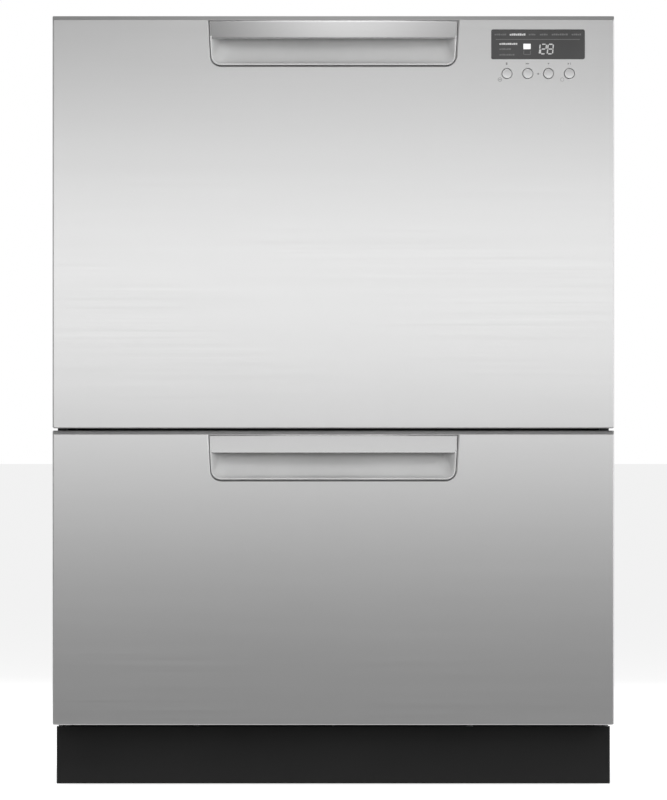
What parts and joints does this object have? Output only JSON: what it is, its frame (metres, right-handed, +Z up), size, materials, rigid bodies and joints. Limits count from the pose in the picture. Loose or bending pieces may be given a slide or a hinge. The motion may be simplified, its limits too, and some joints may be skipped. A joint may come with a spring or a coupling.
{
  "type": "double drawer dishwasher",
  "caption": "Built-in dishwasher with stacked pull-out wash drawers, recessed bar handles, a small control panel and a black kickstrip.",
  "frame": {"origin": "centre of the footprint on the floor", "axes": "+Z up, the drawer fronts face -Y and the drawers pull out along -Y, +X to the right seen from the front"},
  "size_m": [0.599, 0.573, 0.82],
  "materials": {
    "stainless": "fine horizontal grain",
    "satin_bar": "satin anodised look",
    "silver_plastic": "silver paint",
    "galvanised": "galvanised sheet",
    "runner_steel": "zinc plated",
    "black_plastic": "fine texture",
    "kick_black": "satin black",
    "panel_plastic": "moulded",
    "tub_plastic": "moulded",
    "rack_plastic": "coated",
    "clear_plastic": "moulded",
    "arm_plastic": "moulded",
    "lens": "polished",
    "button_metal": "satin",
    "motor_plastic": "moulded"
  },
  "bodies": {
    "chassis": {"side_panel_left": "galvanised", "side_panel_right": "galvanised", "back_panel": "galvanised", "top_panel": "galvanised", "base_tray": "black_plastic", "kickstrip": "kick_black", "lower_runner_outer_left": "runner_steel", "lower_runner_outer_right": "runner_steel", "upper_runner_outer_left": "runner_steel", "upper_runner_outer_right": "runner_steel", "lower_lid_actuator_left": "motor_plastic", "lower_lid_actuator_right": "motor_plastic", "upper_lid_actuator_left": "motor_plastic", "upper_lid_actuator_right": "motor_plastic"},
    "lower_drawer": {"lower_front_skin": "stainless", "lower_inner_panel": "panel_plastic", "lower_handle_cup": "silver_plastic", "lower_handle_bar": "satin_bar", "lower_tub": "tub_plastic", "lower_dispenser_housing": "panel_plastic", "lower_wash_motor": "motor_plastic", "lower_filter_plate": "panel_plastic", "lower_base_rack": "rack_plastic", "lower_runner_inner_left": "runner_steel", "lower_runner_inner_right": "runner_steel"},
    "lower_runner_middle_left": {"lower_runner_middle_left": "runner_steel"},
    "lower_runner_middle_right": {"lower_runner_middle_right": "runner_steel"},
    "lower_lid": {"lower_lid": "tub_plastic"},
    "lower_spray_arm": {"lower_spray_arm": "arm_plastic"},
    "lower_cup_rack": {"lower_cup_rack": "clear_plastic"},
    "lower_tine_row": {"lower_tine_row": "rack_plastic"},
    "lower_dispenser_door": {"lower_dispenser_door": "panel_plastic"},
    "upper_drawer": {"upper_front_skin": "stainless", "upper_inner_panel": "panel_plastic", "upper_handle_cup": "silver_plastic", "upper_handle_bar": "satin_bar", "upper_tub": "tub_plastic", "upper_dispenser_housing": "panel_plastic", "upper_wash_motor": "motor_plastic", "upper_filter_plate": "panel_plastic", "upper_base_rack": "rack_plastic", "upper_runner_inner_left": "runner_steel", "upper_runner_inner_right": "runner_steel", "display_lens": "lens", "upper_cutlery_basket": "rack_plastic"},
    "upper_runner_middle_left": {"upper_runner_middle_left": "runner_steel"},
    "upper_runner_middle_right": {"upper_runner_middle_right": "runner_steel"},
    "upper_lid": {"upper_lid": "tub_plastic"},
    "upper_spray_arm": {"upper_spray_arm": "arm_plastic"},
    "upper_cup_rack": {"upper_cup_rack": "clear_plastic"},
    "upper_tine_row": {"upper_tine_row": "rack_plastic"},
    "upper_dispenser_door": {"upper_dispenser_door": "panel_plastic"},
    "button_1": {"button_1": "button_metal"},
    "button_2": {"button_2": "button_metal"},
    "button_3": {"button_3": "button_metal"},
    "button_4": {"button_4": "button_metal"},
    "foot_front_left": {"foot_front_left": "black_plastic"},
    "foot_front_right": {"foot_front_right": "black_plastic"},
    "foot_rear_left": {"foot_rear_left": "black_plastic"},
    "foot_rear_right": {"foot_rear_right": "black_plastic"}
  },
  "joints": [
    {"name": "lower_drawer_slide", "type": "slide", "parent": "chassis", "child": "lower_drawer", "axis": [0, -1, 0], "range_m": [0, 0.5]},
    {"name": "lower_runner_middle_left_slide", "type": "slide", "parent": "chassis", "child": "lower_runner_middle_left", "axis": [0, -1, 0], "range_m": [0, 0.25]},
    {"name": "lower_runner_middle_right_slide", "type": "slide", "parent": "chassis", "child": "lower_runner_middle_right", "axis": [0, -1, 0], "range_m": [0, 0.25]},
    {"name": "lower_lid_slide", "type": "slide", "parent": "chassis", "child": "lower_lid", "axis": [0, 0, -1], "range_m": [0, 0.012]},
    {"name": "lower_spray_arm_spin", "type": "hinge", "parent": "lower_drawer", "child": "lower_spray_arm", "pos_m": [0, -0.0059, 0.1333], "axis": [0, 0, 1], "continuous": true},
    {"name": "lower_cup_rack_hinge", "type": "hinge", "parent": "lower_drawer", "child": "lower_cup_rack", "pos_m": [-0.2327, -0.0059, 0.256], "axis": [0, -1, 0], "range_deg": [0, 88]},
    {"name": "lower_tine_row_hinge", "type": "hinge", "parent": "lower_drawer", "child": "lower_tine_row", "pos_m": [-0.036, -0.04884, 0.1718], "axis": [-1, 0, 0], "range_deg": [0, 85]},
    {"name": "lower_dispenser_door_hinge", "type": "hinge", "parent": "lower_drawer", "child": "lower_dispenser_door", "pos_m": [-0.026, -0.2236, 0.252], "axis": [-1, 0, 0], "range_deg": [0, 95]},
    {"name": "upper_drawer_slide", "type": "slide", "parent": "chassis", "child": "upper_drawer", "axis": [0, -1, 0], "range_m": [0, 0.5]},
    {"name": "upper_runner_middle_left_slide", "type": "slide", "parent": "chassis", "child": "upper_runner_middle_left", "axis": [0, -1, 0], "range_m": [0, 0.25]},
    {"name": "upper_runner_middle_right_slide", "type": "slide", "parent": "chassis", "child": "upper_runner_middle_right", "axis": [0, -1, 0], "range_m": [0, 0.25]},
    {"name": "upper_lid_slide", "type": "slide", "parent": "chassis", "child": "upper_lid", "axis": [0, 0, -1], "range_m": [0, 0.012]},
    {"name": "upper_spray_arm_spin", "type": "hinge", "parent": "upper_drawer", "child": "upper_spray_arm", "pos_m": [0, -0.0059, 0.4927], "axis": [0, 0, 1], "continuous": true},
    {"name": "upper_cup_rack_hinge", "type": "hinge", "parent": "upper_drawer", "child": "upper_cup_rack", "pos_m": [-0.2327, -0.0059, 0.6575], "axis": [0, -1, 0], "range_deg": [0, 88]},
    {"name": "upper_tine_row_hinge", "type": "hinge", "parent": "upper_drawer", "child": "upper_tine_row", "pos_m": [-0.036, -0.04884, 0.5312], "axis": [-1, 0, 0], "range_deg": [0, 85]},
    {"name": "upper_dispenser_door_hinge", "type": "hinge", "parent": "upper_drawer", "child": "upper_dispenser_door", "pos_m": [-0.026, -0.2236, 0.6535], "axis": [-1, 0, 0], "range_deg": [0, 95]},
    {"name": "button_1_press", "type": "slide", "parent": "upper_drawer", "child": "button_1", "axis": [0, 1, 0], "range_m": [0, 0.001], "stiffness_N_per_m": 800, "springref_m": -0.001},
    {"name": "button_2_press", "type": "slide", "parent": "upper_drawer", "child": "button_2", "axis": [0, 1, 0], "range_m": [0, 0.001], "stiffness_N_per_m": 800, "springref_m": -0.001},
    {"name": "button_3_press", "type": "slide", "parent": "upper_drawer", "child": "button_3", "axis": [0, 1, 0], "range_m": [0, 0.001], "stiffness_N_per_m": 800, "springref_m": -0.001},
    {"name": "button_4_press", "type": "slide", "parent": "upper_drawer", "child": "button_4", "axis": [0, 1, 0], "range_m": [0, 0.001], "stiffness_N_per_m": 800, "springref_m": -0.001},
    {"name": "foot_front_left_height", "type": "slide", "parent": "chassis", "child": "foot_front_left", "axis": [0, 0, -1], "range_m": [0, 0.06]},
    {"name": "foot_front_right_height", "type": "slide", "parent": "chassis", "child": "foot_front_right", "axis": [0, 0, -1], "range_m": [0, 0.06]},
    {"name": "foot_rear_left_height", "type": "slide", "parent": "chassis", "child": "foot_rear_left", "axis": [0, 0, -1], "range_m": [0, 0.06]},
    {"name": "foot_rear_right_height", "type": "slide", "parent": "chassis", "child": "foot_rear_right", "axis": [0, 0, -1], "range_m": [0, 0.06]}
  ],
  "couplings": [
    {"joint": "lower_runner_middle_left_slide", "follows": "lower_drawer_slide", "ratio": 0.5},
    {"joint": "lower_runner_middle_right_slide", "follows": "lower_drawer_slide", "ratio": 0.5},
    {"joint": "upper_runner_middle_left_slide", "follows": "upper_drawer_slide", "ratio": 0.5},
    {"joint": "upper_runner_middle_right_slide", "follows": "upper_drawer_slide", "ratio": 0.5}
  ]
}
